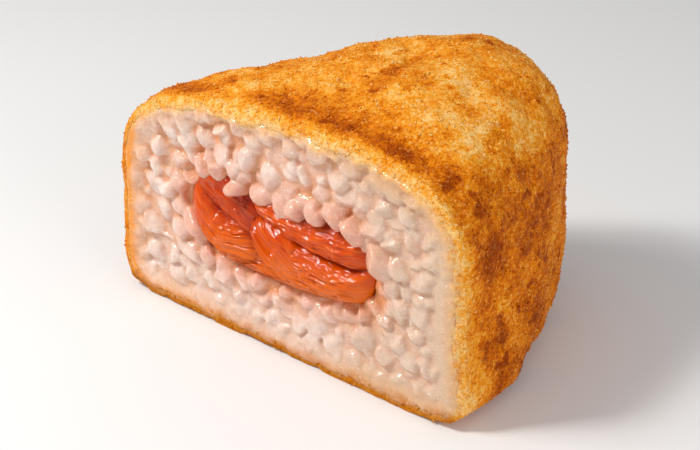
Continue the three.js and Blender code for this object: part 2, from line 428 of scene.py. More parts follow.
def add_grains(piece, random, spots, front):
    """Adds grains at (x, z) spots, their foremost points at y = front, and returns a place in each."""
    shapes = grain_shapes(random, len(spots), GRAIN_ROWS, GRAIN_COLUMNS)
    shapes = np.einsum("nij,nmj->nmi", grain_turns(random, len(spots)), shapes)
    middle = (shapes.max(axis=1) + shapes.min(axis=1)) / 2
    shapes -= middle[:, None]
    shapes[..., 1] += (front - shapes[..., 1].min(axis=1))[:, None]
    shapes[..., 0] += spots[:, :1]
    shapes[..., 2] += spots[:, 1:]
    flat = shapes.reshape(-1, 3)
    inside, _, outward = depth_in(flat[:, [0, 2]], SECTION)
    flat[:, [0, 2]] -= outward * np.maximum(0, GRAIN_COVER - inside)[:, None]
    faces = faces_of_many(len(spots), GRAIN_ROWS, GRAIN_COLUMNS)
    join_into(piece, make_piece("grains", flat, faces))
    return np.insert(spots, 1, front + GRAIN_MIDDLE, axis=1)


# The widths of the rim of pressed rice under the crust, in which single grains hardly show.
RIM_APEX, RIM_BASE, RIM_CROWN, RIM_BELLY = 2.8, 4.0, 1.9, 3.6
RIM_CORNER = 1.4  # added where the crown meets the apex


def rim_width(outward):
    """The pressed rim's width where the outline faces outward, an (x, z) direction."""
    sideways = np.where(outward[:, 0] < 0, RIM_APEX, RIM_BASE)
    upright = np.where(outward[:, 1] > 0, RIM_CROWN, RIM_BELLY)
    share = outward[:, 0] ** 2
    return sideways * share + upright * (1 - share) + RIM_CORNER * upper_apex(outward)


def upper_apex(outward):
    """Up to 1 where the cut's outline turns from the apex to the crown; 0 elsewhere."""
    return np.maximum(0, -2 * outward[:, 0] * outward[:, 1]) * (outward[:, 1] > 0)


def apex_side(outward):
    """1 where the cut's outline faces the apex, whose rim is smooth and glows through; 0 elsewhere."""
    return ease(-outward[:, 0] - 0.35 * outward[:, 1], 0.25, 0.8)


def belly_side(outward):
    """1 where the cut's outline faces down, whose rim is dark gold."""
    return ease(-outward[:, 1], 0.45, 0.85)


LIP_WIDTH, LEAST_LIP_WIDTH = 0.75, 0.2
EDGE_ROUNDING, ROUNDING_WIDTH = 0.9, 1.5


def lip_width(spots, outward):
    """How wide the crust's own crumbs show round the cut."""
    ragged = noise(np.insert(spots, 1, 0, axis=1), 1.6, 33, 2)
    width = LIP_WIDTH - 0.15 * apex_side(outward) + 0.4 * belly_side(outward) + 0.5 * ragged
    return np.maximum(LEAST_LIP_WIDTH, width)


def crust_share(points, inside, outward):
    """How far a point of the cut belongs to the crust: 1 at the edge, 0 in the rice."""
    past_lip = inside - lip_width(points[:, [0, 2]], outward) + 0.6 * noise(points, 1.3, 11, 2)
    return 1 - ease(past_lip, -0.6, 1.6)


def worn_edge(inside, outward):
    """How far the cut's edge is rounded back, which it hardly is under the belly."""
    most = EDGE_ROUNDING - 0.5 * apex_side(outward) - 0.85 * belly_side(outward) - 0.5 * upper_apex(outward)
    return np.maximum(0.05, most) * (1 - ease(inside, 0, ROUNDING_WIDTH))


# ---- The rice body: core and crust in one mesh ----

CORE_ROWS, CORE_COLUMNS = 120, 260
CORE_HOLLOW = 2.4  # behind the cut's plane, within the crust
BODY_VOXEL = 0.30
MOST_TRIANGLES = 194000
POCKET_FRONT = -3.0


def filling_envelope(rows, columns, gap, front):
    """Points of the filling's plain form, with a pair of row counts: its front disc's and its sides'."""
    row, column = grid_shares(sum(rows), columns)
    edge = outline_of(FILLING_OUTLINE, columns)
    out = edge[np.round(column * columns).astype(int)] - FILLING_CENTRE
    reach = np.linalg.norm(out, axis=1)
    share = rows[0] / sum(rows)
    is_front = row <= share
    back = np.clip((row - share) / (1 - share), 0, 1)
    scale = np.where(is_front, row / share, np.maximum(0, 1 - back**FILLING_TAPER) ** (1 / FILLING_TAPER))
    place = FILLING_CENTRE + out * ((reach + gap) / reach * scale)[:, None]
    y = np.where(is_front, front, front + (FILLING_LENGTH + gap - front) * back)
    return np.insert(place, 1, y, axis=1), scale, is_front


def cut_pocket(piece):
    """Takes the filling's form out of a piece."""
    rows, columns = (6, 12), 64
    points, _, _ = filling_envelope(rows, columns, FILLING_GAP, POCKET_FRONT)
    pocket = make_piece("pocket", points, grid_faces(sum(rows), columns))
    cut = piece.modifiers.new("pocket", "BOOLEAN")
    cut.operation, cut.object, cut.solver = "DIFFERENCE", pocket, "EXACT"
    apply_modifiers(piece)
    bpy.data.objects.remove(pocket)


def remesh(piece, voxel):
    even = piece.modifiers.new("remesh", "REMESH")
    even.mode, even.voxel_size, even.use_smooth_shade = "VOXEL", voxel * MM, True
    apply_modifiers(piece)


def thin_out(piece):
    """Drops points where the piece is flattest, until it has no more than MOST_TRIANGLES."""
    triangles = sum(len(face.vertices) - 2 for face in piece.data.polygons)
    fewer = piece.modifiers.new("fewer", "DECIMATE")
    fewer.ratio = min(1, MOST_TRIANGLES / triangles)
    apply_modifiers(piece)


def join_into(piece, other):
    """Adds other's mesh to piece's."""
    points = np.vstack([points_of(piece), points_of(other)])
    count = len(piece.data.vertices)
    faces = [tuple(p.vertices) for p in piece.data.polygons]
    faces += [tuple(count + v for v in p.vertices) for p in other.data.polygons]
    old, piece.data = piece.data, make_mesh(piece.name, points, faces)
    bpy.data.meshes.remove(old)
    bpy.data.objects.remove(other)


def rice_core():
    """The ball cut in half, hollowed behind the rice that shows, with the filling's pocket."""
    row, column = grid_shares(CORE_ROWS, CORE_COLUMNS)
    points = smooth_ball(row, column)
    core = make_piece("rice_body", points, grid_faces(CORE_ROWS, CORE_COLUMNS))
    points = points + normals_of(core) * lumps(points)[:, None]
    points[:, 2] = np.maximum(points[:, 2], FOOT_LEVEL)
    front = points[:, 1] < 3
    spots = points[front][:, [0, 2]]
    inside, _, outward = depth_in(spots, SECTION)
    lip = lip_width(spots, outward)
    hollow = CORE_HOLLOW * ease(inside, lip + 0.2, lip + 1.4)
    hollow = np.maximum(hollow, worn_edge(inside, outward))
    points[front, 1] = np.maximum(points[front, 1], hollow)
    set_points(core, points)
    cut_pocket(core)
    remesh(core, BODY_VOXEL)
    return core


SPOTS = (  # (x, y, z, width, how much browner it is there)
    (5.1, 20.6, 30.4, 1.6, 0.36), (4.9, 16.2, 30.2, 1.5, 0.36), (22.6, 13.9, 25.5, 1.9, 0.36),
    (22, 16.4, 26.2, 1.6, 0.36), (25.1, 16.3, 21.5, 1.9, 0.36), (17.5, 15.6, 28.6, 1.2, 0.36),
    (-11.9, 8.1, 27.4, 1.3, 0.36), (-24, 6, 20, 1.6, 0.36), (-15, 1.2, 26, 1.6, 0.16),
    (27.5, 3.6, 15.3, 2.6, 0.2), (27.5, 6.4, 15.2, 2.0, 0.15), (27.5, 17.1, 14.1, 3.0, 0.2),
    (27.5, 21.9, 14.2, 3.4, 0.24), (27.5, 9.8, -3.4, 2.4, 0.05), (27.5, 12.6, -6.6, 2.6, 0.08),
    (27.5, 20.4, 3.1, 4.0, 0.02), (27.5, 10.2, 3.0, 5.0, -0.2), (27.5, 4.6, -2.2, 2.8, -0.2),
    (-12, 2.5, 27.5, 3.5, -0.2),
)
MEAN_BROWNING, MOST_BROWNING = 0.32, 0.85
BAND_BROWNING, BAND_PLACE, BAND_WIDTH = 0.31, 3.9, 2.2
WALL_BROWNING, FOOT_BROWNING, CROWN_PALING, FLECK_BROWNING = 0.2, 0.04, 0.07, 0.24
LIP_BROWNING, APEX_BROWNING, BELLY_BROWNING = 0.04, 0.3, 0.36


def browned(points, normals, outward):
    """How brown the crust is, from 0, pale gold, to 1, dark brown."""
    _, y, z = points.T
    level = MEAN_BROWNING + 0.13 * noise(points, 9, 41, 2) + 0.28 * noise(points, 3.0, 43, 3)
    # A dark band runs round the crown behind the pale lip of the cut, and farther back down the base wall.
    on_wall = ease(normals[:, 0], 0.35, 0.9)
    middle = BAND_PLACE + 4.2 * on_wall + 0.9 * noise(points, 7, 47)
    band = np.exp(-(((y - middle) / (BAND_WIDTH + 1.6 * on_wall)) ** 2))
    band *= 0.85 + 0.45 * noise(points, 4.5, 49, 2)
    level += (BAND_BROWNING - 0.17 * on_wall) * band * ease(normals[:, 2] + 0.9 * on_wall, 0.1, 0.6)
    # The crust is browner where it faces sideways rather than up, a little browner near the foot, and palest
    # high on the crown at the back.
    level += WALL_BROWNING * (1 - ease(normals[:, 2], 0.15, 0.8)) * ease(y, 2.5, 7)
    level += FOOT_BROWNING * (1 - ease(z, FOOT_LEVEL, FOOT_LEVEL + 6)) * ease(y, 1, 5)
    level -= CROWN_PALING * ease(z, 22, 27) * ease(y, 6, 12)
    for *place, width, amount in SPOTS:
        away = np.sum((points - np.array(place)) ** 2, axis=1) / width**2
        level += amount * np.exp(-away) * (0.8 + 0.6 * noise(points, 1.2, 53))
    level += FLECK_BROWNING * ease(noise(points, 1.9, 59, 2), 0.35, 0.6)
    # The lip of the cut stayed pale, but for the golden rim at apex and belly; it is wide low on the wall.
    wide_lip = 1.5 * on_wall * (1 - ease(z, -5, 3))
    lip = 1 - ease(y - wide_lip + 0.9 * noise(points, 1.5, 61, 2), -0.6, 3.0)
    lip_level = LIP_BROWNING + APEX_BROWNING * apex_side(outward) + BELLY_BROWNING * belly_side(outward)
    return np.minimum(level * (1 - lip) + lip_level * lip, MOST_BROWNING)


def rim_gilding(points, outward):
    """How dark a gold the crust's rim under the belly is: up to a half there, 0 elsewhere."""
    return 0.5 * belly_side(outward) * (1 - ease(points[:, 1], 0.8, 2.5))


SWELLS, KNOBS, RIPPLES, GRANULES, GRIT, PITS = 0.34, 0.42, 0.16, 0.11, 0.08, -0.22  # the crust's relief
FOOT_CRUMBLING = 0.45


def dress_core(core):
    """Gives the remeshed body its crust relief and the values that its material reads.

    Returns for each point 1 where the crust shows, the normal, and the outline's outward direction near it.
    """
    points, normals = points_of(core), normals_of(core)
    y, z = points[:, 1], points[:, 2]
    inside, _, outward = depth_in(points[:, [0, 2]], SECTION)
    behind = (inside > 3.0) & (y < 4) | in_pocket(points)
    coarse = SWELLS * noise(points, 6.5, 12, 2) + KNOBS * (pebbles(points, 3.9, 15) - 0.6)
    coarse += RIPPLES * noise(points, 2.4, 13, 2)
    granules = GRANULES * (pebbles(points, 0.7, 19) - 0.5) + GRIT * noise(points, 1.2, 17, 2)
    pits = PITS * ease(noise(points, 1.7, 23, 2), 0.42, 0.75)
    rough = np.where(behind, 0, coarse + granules + pits)
    # The relief is less on the cut's edge, above all at the apex, and near the foot.
    rough *= 1 - (0.3 + 0.4 * apex_side(outward)) * (1 - ease(y, 0.3, 1.2))
    standing = ease(z, FOOT_LEVEL + 0.05, FOOT_LEVEL + 1.5)
    points = points + normals * (rough * (0.35 + 0.65 * standing))[:, None]
    # Under the cut the foot's edge is crumbly too.
    near_foot = 1 - ease(points[:, 2], FOOT_LEVEL + 0.3, FOOT_LEVEL + 1.4)
    near_foot *= 1 - ease(y, 0.4, 1.8)
    points[:, 2] += FOOT_CRUMBLING * near_foot * ease(noise(points, 2.6, 25, 3), -0.3, 0.5)
    points[:, 2] = np.maximum(points[:, 2], FOOT_LEVEL)
    set_points(core, points)
    set_value(core, "browning", browned(points, normals, outward))
    set_value(core, "gilding", rim_gilding(points, outward))
    doughy = (1 - crust_share(points, inside, outward)) * (1 - ease(y, 0.4, 1.1))
    set_value(core, "doughy", doughy * (1 - 0.7 * apex_side(outward)))
    return np.where(behind, 0, 1), normals, outward


def in_pocket(points):
    """True where a point lies on the wall of the filling's pocket, or in it."""
    inside = depth_in(points[:, [0, 2]], FILLING_EDGE)[0]
    return (inside > -1.2) & (points[:, 1] < FILLING_LENGTH + 1)


# ---- Crumbs on the crust ----

CRUMB_COUNT = 11500
CRUMB_RADIUS = (0.10, 0.24)
CRUMB_ROWS, CRUMB_COLUMNS = 3, 4


def crumbs_on(core, shown, normals, outward):
    """Loose crumbs where the crust shows, more of them near the cut but few on its edge at the apex."""
    random = np.random.default_rng(8)
    points = points_of(core)
    chance = shown * (points[:, 2] > FOOT_LEVEL + 0.4)
    chance = chance * (1 - 0.85 * apex_side(outward) * (points[:, 1] < 0.6))
    chance = chance * (1 + 1.5 * (points[:, 1] < 1.5))
    chosen = random.choice(len(points), CRUMB_COUNT, replace=False, p=chance / chance.sum())
    form = round_form(CRUMB_ROWS, CRUMB_COLUMNS)
    shapes = form[None] * random.uniform(0.6, 1.3, (CRUMB_COUNT, len(form), 1))
    smallest, largest = CRUMB_RADIUS
    radius = smallest + (largest - smallest) * random.random(CRUMB_COUNT) ** 2.5
    stretch = random.uniform((0.6, 0.6, 0.9), (1, 1, 1.5), (CRUMB_COUNT, 3))
    shapes *= radius[:, None, None] * stretch[:, None]
    shapes = np.einsum("nij,nmj->nmi", random_turns(random, CRUMB_COUNT), shapes)
    shapes += (points[chosen] + normals[chosen] * (0.05 * radius)[:, None])[:, None]
    shapes[..., 2] = np.maximum(shapes[..., 2], FOOT_LEVEL)
    faces = faces_of_many(CRUMB_COUNT, CRUMB_ROWS, CRUMB_COLUMNS)
    crumbs = make_piece("crust_crumbs", shapes.reshape(-1, 3), faces)
    brown = browned(points[chosen], normals[chosen], outward[chosen]) + random.uniform(-0.3, 0.1, CRUMB_COUNT)
    set_value(crumbs, "browning", np.repeat(brown, len(form)))
    golden = rim_gilding(points[chosen], outward[chosen])
    set_value(crumbs, "gilding", np.repeat(golden, len(form)))
    return crumbs


# ---- The rice at the cut: grains pressed into each other ----

FACE_ROWS, FACE_SIDE_ROWS, FACE_COLUMNS = 60, 6, 240
FACE_BACK = 3.4
FACE_INSET = 0.5  # from the crust's outside, in front
FACE_NARROWING = 1.6  # how much more it is at the back
FACE_VOXEL = 0.22
PASTE_DEPTH = 0.95
UNDER_CRUST_STEP = 0.3


def level_between(spots):
    """How far behind the cut's plane the paste between the grains lies."""
    inside, _, outward = depth_in(spots, SECTION)
    width = rim_width(outward)
    far_in = ease(inside, 0.45 * width, 1.5 * width)
    from_filling = -depth_in(spots, FILLING_EDGE)[0]
    near_filling = 1 - ease(from_filling, 0.5, 4.5)
    uneven = noise(np.insert(spots, 1, 0, axis=1), 4, 31, 2)
    ragged = noise(np.insert(spots, 1, 0, axis=1), 1.3, 35, 2)
    step = UNDER_CRUST_STEP - 0.2 * np.maximum(apex_side(outward), upper_apex(outward))
    under_crust = step * (1 - ease(inside, 0.5, 1.2))
    under_crust += 0.32 * ragged * (1 - ease(inside, 1.2, 2.4)) * (1 - 0.6 * upper_apex(outward))
    open_corner = ease(-spots[:, 0], 2, 12) * ease(spots[:, 1], 10, 17)
    sunk = far_in * (PASTE_DEPTH + 0.25 * uneven + 0.6 * near_filling + 0.4 * open_corner)
    return sunk + worn_edge(inside, outward) + under_crust


def face_slab():
    """The rice at the cut without its grains: a slab behind the plane, just inside the crust's lip."""
    rows = 2 * FACE_ROWS + FACE_SIDE_ROWS
    row, column = grid_shares(rows, FACE_COLUMNS)
    steps = row * rows
    edge = SECTION[np.round(column * SECTION_STEPS).astype(int) % SECTION_STEPS]
    _, _, outward = depth_in(edge, SECTION)
    front = np.clip(steps / FACE_ROWS, 0, 1)
    back = np.clip((rows - steps) / FACE_ROWS, 0, 1)
    side = np.clip((steps - FACE_ROWS) / FACE_SIDE_ROWS, 0, 1)
    edge = edge - outward * (FACE_INSET + FACE_NARROWING * side)[:, None]
    spots = SECTION_MIDDLE + (edge - SECTION_MIDDLE) * np.minimum(front, back)[:, None]
    level = level_between(spots)
    y = level + (FACE_BACK - level) * side
    return make_piece("rice_grains", np.insert(spots, 1, y, axis=1), grid_faces(rows, FACE_COLUMNS))


def rim_share(spots, low, high):
    """True where a spot lies between low and high times the rim's width inside the cut's outline."""
    inside, _, outward = depth_in(spots, SECTION)
    width = rim_width(outward)
    return (inside > low * width) & (inside < high * width)


def clear_of_filling(spots, apart, apart_above):
    """True outside the filling's outline by apart, or by apart_above where the outline faces up."""
    inside, _, outward = depth_in(spots, FILLING_EDGE)
    return -inside > np.where(outward[:, 1] > 0.5, apart_above, apart)


# Grains that hang over the filling: their (x, z) spots and the y of each one's foremost point.
HANGING_GRAINS = np.array([
    (-9.4, 14.3), (-5.1, 15.0), (-1.9, 14.6), (0.9, 14.4), (4.2, 15.4), (7.4, 16.0), (10.7, 15.0),
    (14.9, 11.9), (-18.4, 6.2),
])
HANGING_FRONTS = np.array([-1.6, -0.9, -0.5, -1.1, -0.8, -1.2, -1.6, -1.1, -0.8])
HANGING_CLEARANCE = 2.9


def clear_of_hanging(spots):
    """True where no hanging grain is near."""
    apart = np.sum((spots[:, None] - HANGING_GRAINS[None]) ** 2, axis=2)
    return apart.min(axis=1) > HANGING_CLEARANCE**2


def rice_face():
    """The rice that shows at the cut, and a place inside each of its grains."""
    random = np.random.default_rng(21)
    face = face_slab()
    cut_pocket(face)
    layers = (  # (where, spacing, range of y for the grains' foremost points)
        (
            lambda s: rim_share(s, 0.9, 99) & clear_of_filling(s, 1.3, -0.2) & clear_of_hanging(s),
            3.0, (-0.45, 0.2),
        ),
        (lambda s: rim_share(s, 0.9, 99) & clear_of_filling(s, 1.1, 0.4), 2.6, (0.15, 0.7)),
        (lambda s: rim_share(s, 0.45, 1.0) & clear_of_filling(s, 1.5, 1.5), 2.6, (-0.22, 0.02)),
    )
    places = []
    for where, spacing, foremost in layers:
        spots = scattered_spots(random, where, spacing)
        front = random.uniform(*foremost, len(spots))
        # Below the filling the grains were pressed more nearly level.
        front = np.maximum(front, -0.45 + 0.25 * (1 - ease(spots[:, 1], 0, 8)))
        places.append(add_grains(face, random, spots, front))
    places.append(add_grains(face, random, HANGING_GRAINS, HANGING_FRONTS))
    remesh(face, FACE_VOXEL)
    return face, np.vstack(places)


def dress_face(face, grain_places):
    """Softens the seams between the grains and gives the values that the rice's material reads."""
    points = points_of(face)
    inside, _, outward = depth_in(points[:, [0, 2]], SECTION)
    pressed = 1 - ease(inside, 0.8 * rim_width(outward), 2.2 * rim_width(outward))
    points = smoothed(face, points, 0.15 + 0.55 * pressed, 2)
    set_points(face, points)
    normals = normals_of(face)
    # The hollows between the grains, found from how far the surface lies below its smoothed self, get painted
    # shade and glow in the material.
    spread = smoothed(face, points, np.full(len(points), 0.9), 14)
    seam_shade = np.sum((spread - points) * normals, axis=1)
    facets = 0.07 * noise(points, 1.4, 71, 2) - 0.06 * np.abs(noise(points, 1.0, 77))
    points = points + normals * (facets + 0.05 * noise(points, 0.6, 73))[:, None]
    near_crust = (1 - ease(inside, 1.2, 3.2)) * (1 - 0.8 * apex_side(outward))
    points = points + normals * (near_crust * 0.17 * (pebbles(points, 0.8, 75) - 0.5))[:, None]
    points[:, 2] = np.maximum(points[:, 2], FOOT_LEVEL)
    set_points(face, points)

    random = np.random.default_rng(22)
    tone = random.random(len(grain_places))[nearest_of(points, grain_places)]
    from_filling = -depth_in(points[:, [0, 2]], FILLING_EDGE)[0] + 0.5 * points[:, 1].clip(-1, 0)
    grit = noise(points, 1.3, 11, 2)
    towards_apex = ease(-points[:, 0], 4, 20)
    # Painted glow: near the crust the rice is painted gold, as if light shone through it; strongest at the
    # apex and the upper corner, weaker along the belly and the crown, and it also brightens rice that the
    # crust's lip shades.
    glow_side = np.maximum(apex_side(outward), belly_side(outward) * (0.35 + 0.5 * towards_apex))
    glow_side = np.maximum(glow_side, 0.6 * upper_apex(outward))
    glow_side = np.maximum(glow_side, 0.36 * ease(outward[:, 1], 0.3, 0.8))
    glow_depth = inside + 0.3 * grit + 2.6 * (1 - glow_side)
    set_value(face, "tone", tone)
    base_side = ease(points[:, 0], 2, 14)
    # Away from the filling, towards the base and the foot, the gaps between the grains get less painted shade
    # and glow.
    low_side = 1 - ease(points[:, 2], -2, 4)
    pale = np.maximum(base_side, low_side) * ease(from_filling, 1, 4)
    # Painted shade and glow in the seams between the grains.
    set_value(face, "seam_shade", ease(seam_shade, 0.015, 0.17) * (1 - 0.4 * pale))
    # Painted shade and glow: the deeper behind the cut's plane, the more orange the rice is painted; partly
    # the oily paste's own colour.
    set_value(face, "hollow_shade", ease(points[:, 1], 0.2, 1.7) * (1 - 0.55 * pale))
    set_value(face, "tint", np.clip(1 - from_filling / 4.5, 0, 1))
    # Near the crust the pressed paste has its own cream colour; over the base side, towards the right, the
    # cream is spread wider and stronger as painted shade, where less light falls.
    cream_and_shade = 1 - ease(inside + 0.4 * grit, 1.2, 6.5 + 3.5 * base_side)
    set_value(face, "cream_and_shade", np.maximum(cream_and_shade * (0.3 + 0.7 * base_side), 0.5 * base_side))
    # Painted glow along the rice's rim under the crust.
    rim = 0.95 * (1 - ease(glow_depth, 0.8, 3.0)) + 0.4 * (1 - ease(glow_depth, 1.5, 6.5))
    set_value(face, "rim", np.minimum(rim, 1))
    set_value(face, "crusted", crust_share(points, inside, outward))
    set_value(face, "browning", browned(points, normals, outward))
    set_value(face, "gilding", rim_gilding(points, outward))


# ---- The salmon ----

FOLDS = (  # (spine as (x, z) points across the front, width below the spine, width above it, height)
    (((-17.8, 10.2), (-14.6, 7.4), (-11.8, 6.3), (-9.8, 6.5)), 4.8, 3.0, 2.7),
    (((-16, 13.4), (-12, 12), (-8.8, 10.2)), 3.2, 3.6, 1.6),
    (((-1.9, 9.2), (0.4, 7.6), (5, 6.9), (10, 7), (13.2, 7.6)), 6.0, 2.5, 3.0),
    (((-4.4, 13.2), (-1, 12.1), (3.5, 11.3), (8.5, 11.5), (13, 12)), 2.3, 2.6, 2.4),
    (((4, 15.2), (9, 14.9), (13, 14.4)), 2.2, 2.2, 1.1),
    (((-10, 4.4), (-4, 4), (2, 3.6)), 3.6, 3.4, 1.8),
)
FOLD_SOFTNESS = 0.12
SALMON_ROWS, SALMON_COLUMNS = (170, 26), 440


def beside_spine(spots, spine):
    """How far along a spine each (x, z) spot lies, how far off it, and on which side, -1 to 1."""
    spine = np.array(spine)
    off = np.full(len(spots), 1e9)
    along, side = np.zeros(len(spots)), np.zeros(len(spots))
    run = 0.0
    for a, b in zip(spine[:-1], spine[1:]):
        length = np.linalg.norm(b - a)
        way = (b - a) / length
        share = np.clip((spots - a) @ way, 0, length)
        gap = spots - a - share[:, None] * way
        away = np.linalg.norm(gap, axis=1)
        closer = away < off
        off = np.where(closer, away, off)
        along = np.where(closer, run + share, along)
        side = np.where(closer, gap @ np.array([-way[1], way[0]]) / np.maximum(away, 1e-6), side)
        run += length
    return along, off, side


def fold_relief(spots):
    """How far the folds stand out at (x, z) spots, the place along and across the fold, and its number."""
    heights, alongs, acrosses = [], [], []
    for spine, below, above, height in FOLDS:
        along, off, side = beside_spine(spots, spine)
        width = below + (above - below) * ease(side, -0.7, 0.7)
        heights.append(height * np.sqrt(np.clip(1 - (off / width) ** 2, 0, 1)))
        alongs.append(along)
        acrosses.append(off * side)
    heights, alongs, acrosses = map(np.array, (heights, alongs, acrosses))
    soft = FOLD_SOFTNESS * np.log(np.sum(np.exp(heights / FOLD_SOFTNESS), axis=0) / len(FOLDS) + 1e-9)
    top = heights.argmax(axis=0)
    pick = np.arange(len(spots))
    return np.maximum(soft, 0), alongs[top, pick], acrosses[top, pick], top


def salmon():
    """The folded filling, whose front bulges out of the cut in folds with fibres across them."""
    points, scale, is_front = filling_envelope(SALMON_ROWS, SALMON_COLUMNS, 0, FILLING_FRONT)
    spots = points[:, [0, 2]]
    wander = np.stack([0.6 * noise(points, 5, 81, 2), 0.6 * noise(points, 5, 83, 2)], axis=1)
    height, along, across, fold = fold_relief(spots + wander)
    across = across + 0.35 * noise(points, 2.5, 84, 2)
    # Noise over these places is drawn out along the fibres, and starts anew in each fold.
    fibre, fine, crinkles = (
        np.stack([along / length, across / width, apart * fold + start], axis=1)
        for length, width, apart, start in ((3.2, 0.8, 3.0, 0), (1.5, 0.42, 5.0, 7), (1.9, 0.62, 4.0, 3))
    )
    height += 0.3 * noise(points, 3.5, 89, 2) + 0.05 * noise(points, 0.9, 91, 2)
    crinkled = ease(height, 1.2, 2.4) * ease(noise(points, 4, 93), -0.5, 0.5)
    height -= 0.34 * np.abs(noise(fibre, 1, 85, 2)) + 0.32 * np.abs(noise(fine, 1, 87))
    height -= 0.36 * crinkled * np.abs(noise(crinkles, 1, 95))
    rim_fade = 1 - scale**10
    points[:, 1] -= np.where(is_front, height * rim_fade, 0)
    piece = make_piece("salmon_folds", points, grid_faces(sum(SALMON_ROWS), SALMON_COLUMNS))
    set_value(piece, "along", along + 20 * fold)
    set_value(piece, "across", across)
    # Painted shade: how hollow the surface lies, which the material darkens to deep red in the creases.
    spread = smoothed(piece, points, np.full(len(points), 0.9), 40)
    crease_shade = np.sum((spread - points) * normals_of(piece), axis=1)
    set_value(piece, "raised", np.clip(height / 2.6, 0, 1))
    set_value(piece, "crease_shade", ease(crease_shade, 0.02, 0.3))
    # Painted glow: low on the front the salmon is painted a lighter orange, as if light shone through the
    # thin flesh there.
    set_value(piece, "thin_glow", 1 - ease(spots[:, 1] + 0.6 * noise(points, 3, 97), 4.5, 9.5))
    return piece


# ---- Materials ----


class Paint:
    """A material's nodes, added one call at a time."""

    def __init__(self, name):
        self.material = bpy.data.materials.new(name)
        self.material.use_nodes = True
        self.nodes = self.material.node_tree.nodes
        self.links = self.material.node_tree.links
        self.shader = self.nodes["Principled BSDF"]
        self.place = self.node("ShaderNodeTexCoord").outputs["Object"]

    def node(self, kind, **settings):
        made = self.nodes.new(kind)
        for key, value in settings.items():
            setattr(made, key, value)
        return made

    def feed(self, node, inputs):
        """Links a node's inputs to other nodes' outputs, or sets them to plain values."""
        for key, value in inputs.items():
            if isinstance(value, bpy.types.NodeSocket):
                self.links.new(value, node.inputs[key])
            else:
                node.inputs[key].default_value = value

    def value(self, name):
        return self.node("ShaderNodeAttribute", attribute_name=name).outputs["Fac"]

    def noise(self, size, detail, roughness, place=None, offset=0.0):
        """Noise from 0 to 1 whose features are about size millimetres."""
        made = self.node("ShaderNodeTexNoise", noise_dimensions="4D")
        scale = 1 / (size * MM) if place is None else 1 / size
        self.feed(made, {"Vector": place or self.place, "W": offset, "Scale": scale})
        self.feed(made, {"Detail": detail, "Roughness": roughness})
        return made.outputs["Fac"]

    def cells(self, size, output="Distance"):
        """Random cells about size millimetres wide: Distance from the middle of each, or its own Color."""
        made = self.node("ShaderNodeTexVoronoi")
        self.feed(made, {"Vector": self.place, "Scale": 1 / (size * MM)})
        return made.outputs[output]

    def math(self, operation, a, b):
        made = self.node("ShaderNodeMath", operation=operation)
        self.feed(made, {0: a, 1: b})
        return made.outputs[0]

    def span(self, value, low, high, to_low=0.0, to_high=1.0):
        """value from low to high, carried smoothly to to_low up to to_high."""
        made = self.node("ShaderNodeMapRange", interpolation_type="SMOOTHSTEP")
        self.feed(made, {"Value": value, "From Min": low, "From Max": high})
        self.feed(made, {"To Min": to_low, "To Max": to_high})
        return made.outputs["Result"]

    def ramp(self, value, stops):
        made = self.node("ShaderNodeValToRGB")
        self.feed(made, {0: value})
        elements = made.color_ramp.elements
        while len(elements) < len(stops):
            elements.new(0.5)
        for element, (place, colour) in zip(elements, stops):
            element.position = place
            element.color = (*colour, 1)
        return made.outputs["Color"]

    def mix(self, share, a, b):
        made = self.node("ShaderNodeMix", data_type="RGBA")
        a, b = (value if isinstance(value, bpy.types.NodeSocket) else (*value, 1) for value in (a, b))
        self.feed(made, {"Factor": share, 6: a, 7: b})
        return made.outputs[2]

    def bump(self, height, distance, strength=1.0):
        made = self.node("ShaderNodeBump")
        self.feed(made, {"Height": height, "Distance": distance * MM, "Strength": strength})
        return made.outputs["Normal"]

    def set(self, **sockets):
        """Feeds the shader's inputs, which are named with _ for a space."""
        self.feed(self.shader, {name.replace("_", " "): value for name, value in sockets.items()})
        return self.material


BROWNING = (  # pale crumb to dark brown
    (0.0, (0.90, 0.56, 0.20)),
    (0.2, (0.86, 0.35, 0.025)),
    (0.4, (0.74, 0.21, 0.004)),
    (0.6, (0.52, 0.11, 0.001)),
    (0.8, (0.30, 0.048, 0.001)),
    (1.0, (0.24, 0.036, 0.001)),
)
CRUMB_PALE = (0.95, 0.57, 0.17)
OLD_GOLD = (0.42, 0.15, 0.003)
RICE = (0.72, 0.52, 0.43)
RICE_WHITE = (0.88, 0.74, 0.67)
# The next colour is for painted highlights, small sparkles on the rice.
SPARKLE_WHITE = (0.95, 0.86, 0.80)
# The next two colours are painted shade and glow, for the seams and the hollows between the grains.
SEAM_SHADE = (0.69, 0.37, 0.23)
HOLLOW_SHADE = (0.76, 0.27, 0.06)
CREAM = (0.67, 0.46, 0.295)
# The next colour is a painted glow, for the rice's rim under the crust.
RIM_GLOW = (0.84, 0.30, 0.012)
FIBRE_DARK = (0.46, 0.028, 0.0)
FIBRE = (0.62, 0.062, 0.0)
FIBRE_LIGHT = (0.80, 0.15, 0.0)
FLESH = (0.70, 0.092, 0.0)
# The next colour is a painted glow, for the salmon's lower front.
FLESH_GLOW = (0.82, 0.175, 0.0)
# The next colour is painted shade, for the salmon's creases and the low ground between its folds.
CREASE_SHADE = (0.27, 0.005, 0.0)
STAIN = (0.76, 0.31, 0.19)


